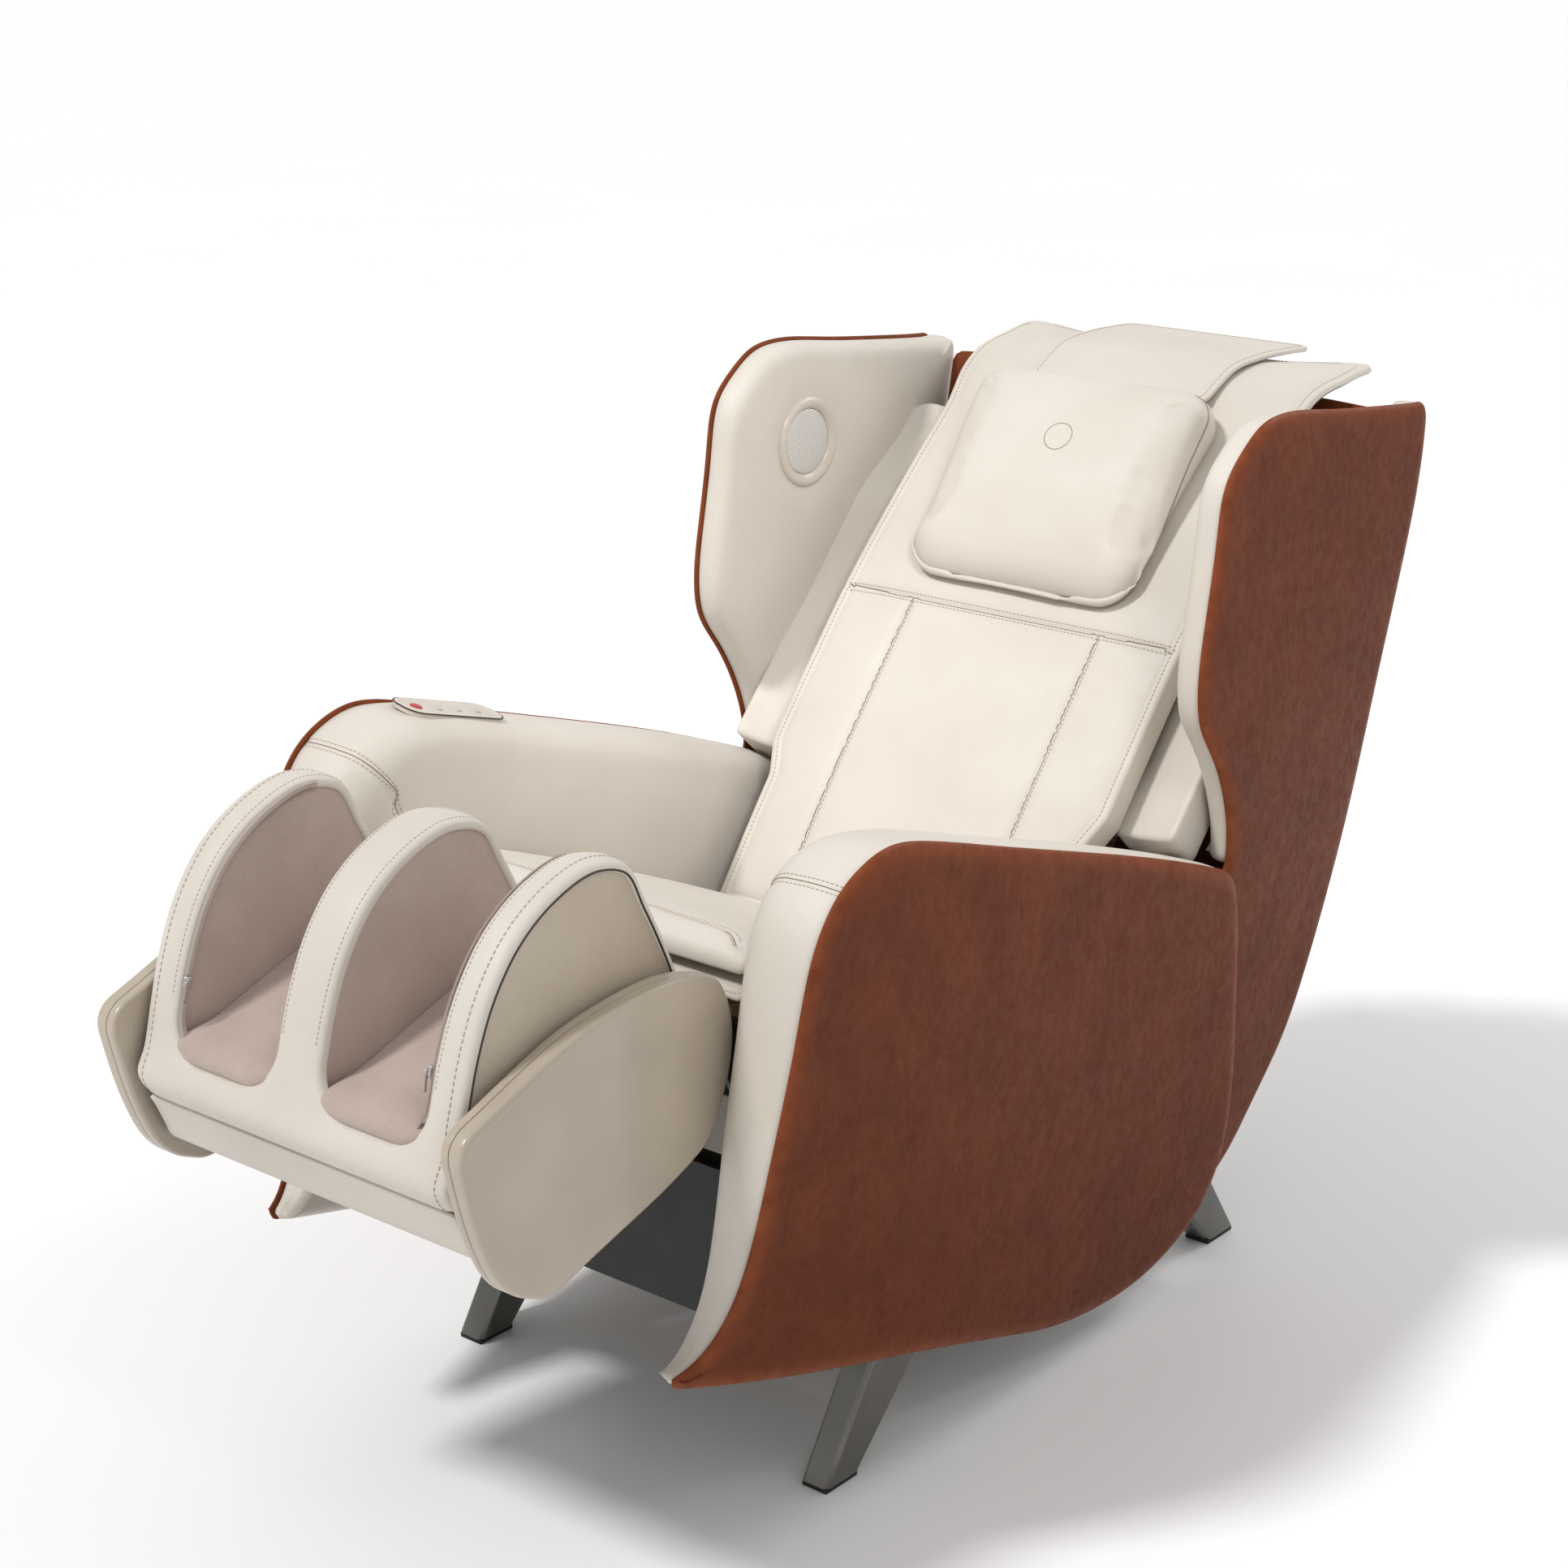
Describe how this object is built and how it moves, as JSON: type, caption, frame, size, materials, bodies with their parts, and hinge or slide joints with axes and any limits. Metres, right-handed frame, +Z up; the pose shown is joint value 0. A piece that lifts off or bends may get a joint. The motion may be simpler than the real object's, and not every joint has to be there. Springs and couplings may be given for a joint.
{
  "type": "massage chair",
  "caption": "Compact wing-back massage chair with tilting seat body, reclining padded back, raised calf rest with side shields, head pillow and splayed metal legs.",
  "frame": {"origin": "on the floor, at the centre of the chair's bounding box seen from above", "axes": "+Z up, the sitter faces -Y, +X is the sitter's left"},
  "size_m": [0.742, 1.5911, 1.0371],
  "materials": {
    "tan_leather": "aged matt leather",
    "cream_leather": "fine grain",
    "taupe_knit": "soft knit",
    "cream_plastic": "gloss",
    "black_plastic": "fine texture",
    "gunmetal": "satin metallic",
    "frame_steel": "powder coat",
    "bright_steel": "ground",
    "rubber": "matt",
    "speaker_mesh": "woven",
    "red_key": "gloss",
    "grey_key": "satin",
    "foam": "black cover",
    "plywood": "raw",
    "electronics": "textured"
  },
  "bodies": {
    "base": {"base_side_frames": "frame_steel", "base_cross_tubes": "frame_steel", "front_legs": "gunmetal", "rear_legs": "gunmetal", "foot_pads": "rubber", "tilt_pins": "bright_steel", "inlet_panel": "black_plastic"},
    "power_rocker": {"power_rocker": "black_plastic"},
    "tilt_actuator": {"tilt_actuator": "black_plastic"},
    "tilt_rod": {"tilt_rod": "bright_steel"},
    "seat_body": {"seat_frame_plates": "frame_steel", "seat_cross_tubes": "frame_steel", "seat_pan": "plywood", "seat_cushion": "cream_leather", "belly_tray": "black_plastic", "arm_outer_panel_left": "tan_leather", "arm_outer_panel_right": "tan_leather", "arm_pad_left": "cream_leather", "arm_pad_right": "cream_leather", "arm_front_trim_left": "cream_leather", "arm_front_trim_right": "cream_leather", "arm_inner_panels": "cream_leather", "control_panel": "cream_plastic", "power_supply": "electronics", "air_pump": "electronics", "pivot_pins": "bright_steel"},
    "power_key": {"power_key": "red_key"},
    "key_recline": {"key_recline": "grey_key"},
    "key_massage": {"key_massage": "grey_key"},
    "key_air": {"key_air": "grey_key"},
    "recline_actuator": {"recline_actuator": "black_plastic"},
    "recline_rod": {"recline_rod": "bright_steel"},
    "leg_actuator": {"leg_actuator": "black_plastic"},
    "leg_rod": {"leg_rod": "bright_steel"},
    "backrest": {"back_side_plates": "frame_steel", "back_cross_bars": "frame_steel", "guide_rails": "bright_steel", "back_bolsters": "foam", "rear_cover": "tan_leather", "wing_outer_panel_left": "tan_leather", "wing_outer_panel_right": "tan_leather", "wing_pad_left": "cream_leather", "wing_pad_right": "cream_leather", "speaker_rings": "cream_plastic", "speaker_grilles": "speaker_mesh", "speaker_drivers": "black_plastic", "back_pad": "cream_leather", "pillow_flap": "cream_leather"},
    "carriage": {"carriage": "frame_steel", "carriage_motor": "electronics"},
    "knead_shaft": {"knead_shaft": "bright_steel", "knead_wheels": "rubber"},
    "pillow": {"pillow": "cream_leather"},
    "leg_rest": {"calf_frame": "frame_steel", "calf_tray": "black_plastic", "shield_inner_shells": "cream_plastic", "shield_outer_shells": "cream_plastic", "calf_outer_ridges": "cream_leather", "calf_middle_ridge": "cream_leather", "calf_trough_pads": "taupe_knit"}
  },
  "joints": [
    {"name": "body_tilt", "type": "hinge", "parent": "base", "child": "seat_body", "pos_m": [0, 0.0375, 0.25], "axis": [-1, 0, 0], "range_deg": [-17, 4]},
    {"name": "backrest_recline", "type": "hinge", "parent": "seat_body", "child": "backrest", "pos_m": [0, 0.1375, 0.33], "axis": [-1, 0, 0], "range_deg": [0, 20]},
    {"name": "leg_rest_lift", "type": "hinge", "parent": "seat_body", "child": "leg_rest", "pos_m": [0, -0.4245, 0.548], "axis": [-1, 0, 0], "range_deg": [-57, 10]},
    {"name": "carriage_travel", "type": "slide", "parent": "backrest", "child": "carriage", "axis": [0, 0.6684, 0.7438], "range_m": [-0.18, 0.19]},
    {"name": "knead_spin", "type": "hinge", "parent": "carriage", "child": "knead_shaft", "pos_m": [0, 0.3631, 0.62331], "axis": [1, 0, 0], "continuous": true},
    {"name": "pillow_flip", "type": "hinge", "parent": "backrest", "child": "pillow", "pos_m": [0, 0.5555, 0.992], "axis": [-1, 0, 0], "range_deg": [0, 110]},
    {"name": "tilt_actuator_swing", "type": "hinge", "parent": "base", "child": "tilt_actuator", "pos_m": [0, 0.2635, 0.19], "axis": [-1, 0, 0], "range_deg": [-0.486, 0.344]},
    {"name": "tilt_rod_slide", "type": "slide", "parent": "tilt_actuator", "child": "tilt_rod", "axis": [0, -0.997, -0.0777], "range_m": [-0.02361, 0.00594]},
    {"name": "recline_actuator_swing", "type": "hinge", "parent": "seat_body", "child": "recline_actuator", "pos_m": [0, -0.1625, 0.304], "axis": [-1, 0, 0], "range_deg": [-0.3, 2.65]},
    {"name": "recline_rod_slide", "type": "slide", "parent": "recline_actuator", "child": "recline_rod", "axis": [0, 0.9788, -0.2047], "range_m": [-0.03249, 0.0005]},
    {"name": "leg_actuator_swing", "type": "hinge", "parent": "seat_body", "child": "leg_actuator", "pos_m": [0, 0.0475, 0.326], "axis": [-1, 0, 0], "range_deg": [-0.473, 0.33]},
    {"name": "leg_rod_slide", "type": "slide", "parent": "leg_actuator", "child": "leg_rod", "axis": [0, -0.9507, 0.3102], "range_m": [-0.06815, 0.01237]},
    {"name": "power_rocker_tip", "type": "hinge", "parent": "base", "child": "power_rocker", "pos_m": [0.023, 0.3255, 0.208], "axis": [1, 0, 0], "range_deg": [0, 10]},
    {"name": "power_key_press", "type": "slide", "parent": "seat_body", "child": "power_key", "axis": [0, -0.3818, -0.9243], "range_m": [0, 0.0015], "stiffness_N_per_m": 600, "springref_m": -0.0008},
    {"name": "key_recline_press", "type": "slide", "parent": "seat_body", "child": "key_recline", "axis": [0, -0.3818, -0.9243], "range_m": [0, 0.0015], "stiffness_N_per_m": 600, "springref_m": -0.0008},
    {"name": "key_massage_press", "type": "slide", "parent": "seat_body", "child": "key_massage", "axis": [0, -0.3818, -0.9243], "range_m": [0, 0.0015], "stiffness_N_per_m": 600, "springref_m": -0.0008},
    {"name": "key_air_press", "type": "slide", "parent": "seat_body", "child": "key_air", "axis": [0, -0.3818, -0.9243], "range_m": [0, 0.0015], "stiffness_N_per_m": 600, "springref_m": -0.0008}
  ],
  "couplings": [
    {"joint": "tilt_actuator_swing", "follows": "body_tilt", "ratio": 0.01096},
    {"joint": "tilt_rod_slide", "follows": "body_tilt", "m_per_rad": 0.077901},
    {"joint": "recline_actuator_swing", "follows": "backrest_recline", "ratio": 0.11743},
    {"joint": "recline_rod_slide", "follows": "backrest_recline", "m_per_rad": -0.09164},
    {"joint": "leg_actuator_swing", "follows": "leg_rest_lift", "ratio": 0.00303},
    {"joint": "leg_rod_slide", "follows": "leg_rest_lift", "m_per_rad": 0.068004}
  ]
}
